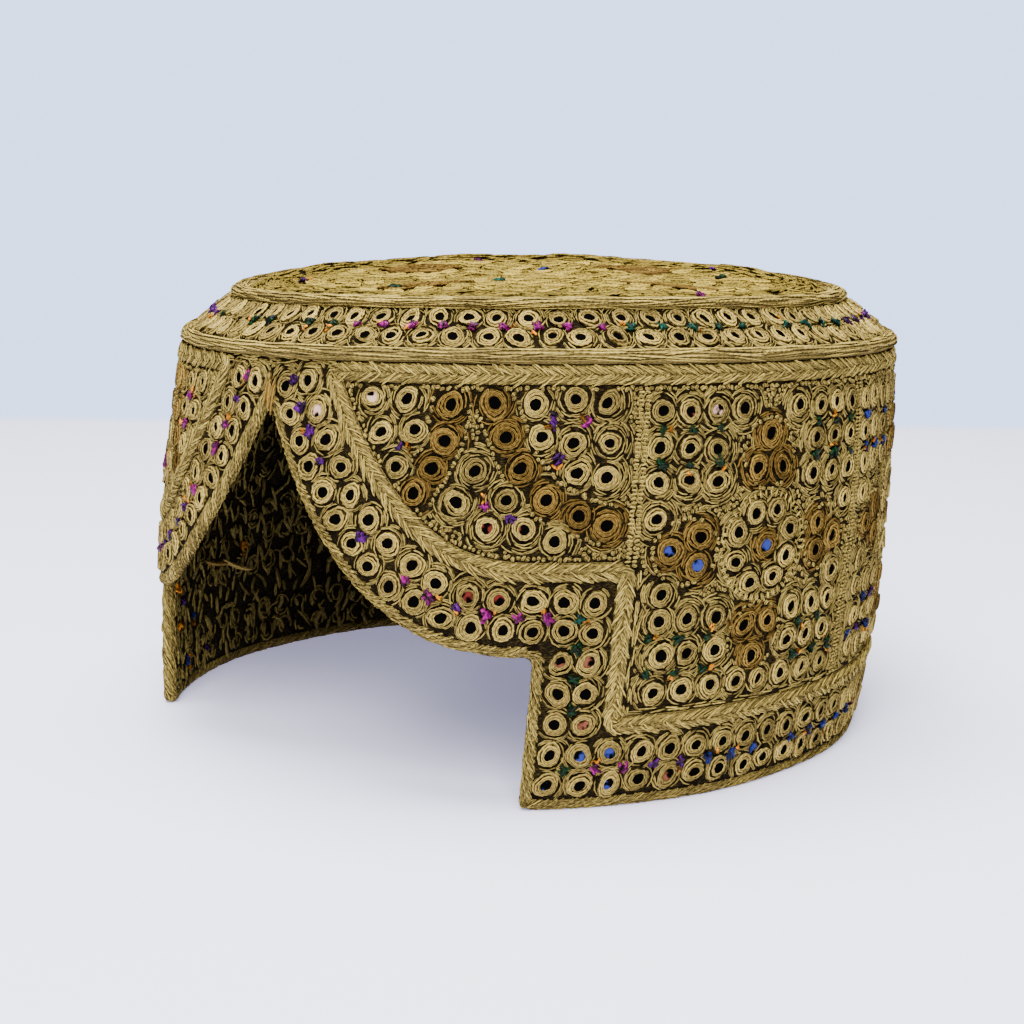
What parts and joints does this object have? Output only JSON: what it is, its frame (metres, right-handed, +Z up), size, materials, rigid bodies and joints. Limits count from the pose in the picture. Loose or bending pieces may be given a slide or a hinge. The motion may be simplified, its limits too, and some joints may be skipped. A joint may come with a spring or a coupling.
{
  "type": "sindhi cap",
  "caption": "Round embroidered mirror-work cap with a flat crown, a sloping crown band and a pointed notch cut over the brow between square-stepped flaps.",
  "frame": {"origin": "on the surface that the cap rests on, below the middle of its outline", "axes": "+Z up to the crown, -Y to the brow notch, +X to the wearer's left"},
  "size_m": [0.1907, 0.1904, 0.1162],
  "materials": {
    "ground_cloth": "dark olive cotton ground, almost covered by close stitching",
    "pale_thread": "pale gold-olive silky thread, satin sheen along the strands",
    "brown_thread": "golden brown silky thread",
    "bright_thread": "bright knots in purple, magenta, green, teal, blue and orange",
    "mirror_glass": "small round glass mirrors, dark where they reflect the room"
  },
  "bodies": {
    "root": {"side_wall": "ground_cloth", "crown_band": "ground_cloth", "crown_disc": "ground_cloth", "edge_binding": "pale_thread", "frame_braid": "pale_thread", "ridge_cord": "pale_thread", "crown_cord": "pale_thread", "crown_mirror": "pale_thread", "rosette_mirror_1": "pale_thread", "rosette_mirror_2": "pale_thread", "rosette_mirror_3": "pale_thread", "rosette_mirror_4": "pale_thread", "rosette_mirror_5": "pale_thread", "rosette_mirror_6": "pale_thread", "petal_top_mirror_1": "brown_thread", "petal_top_mirror_2": "brown_thread", "petal_top_mirror_3": "brown_thread", "petal_top_mirror_4": "brown_thread", "petal_top_mirror_5": "brown_thread", "petal_top_mirror_6": "brown_thread", "petal_right_mirror_1": "brown_thread", "petal_right_mirror_2": "brown_thread", "petal_right_mirror_3": "brown_thread", "petal_right_mirror_4": "brown_thread", "petal_right_mirror_5": "brown_thread", "petal_right_mirror_6": "brown_thread", "petal_bottom_mirror_1": "brown_thread", "petal_bottom_mirror_2": "brown_thread", "petal_bottom_mirror_3": "brown_thread", "petal_bottom_mirror_4": "brown_thread", "petal_bottom_mirror_5": "brown_thread", "petal_bottom_mirror_6": "brown_thread", "petal_left_mirror_1": "brown_thread", "petal_left_mirror_2": "brown_thread", "petal_left_mirror_3": "brown_thread", "petal_left_mirror_4": "brown_thread", "petal_left_mirror_5": "brown_thread", "petal_left_mirror_6": "brown_thread"}
  },
  "joints": []
}
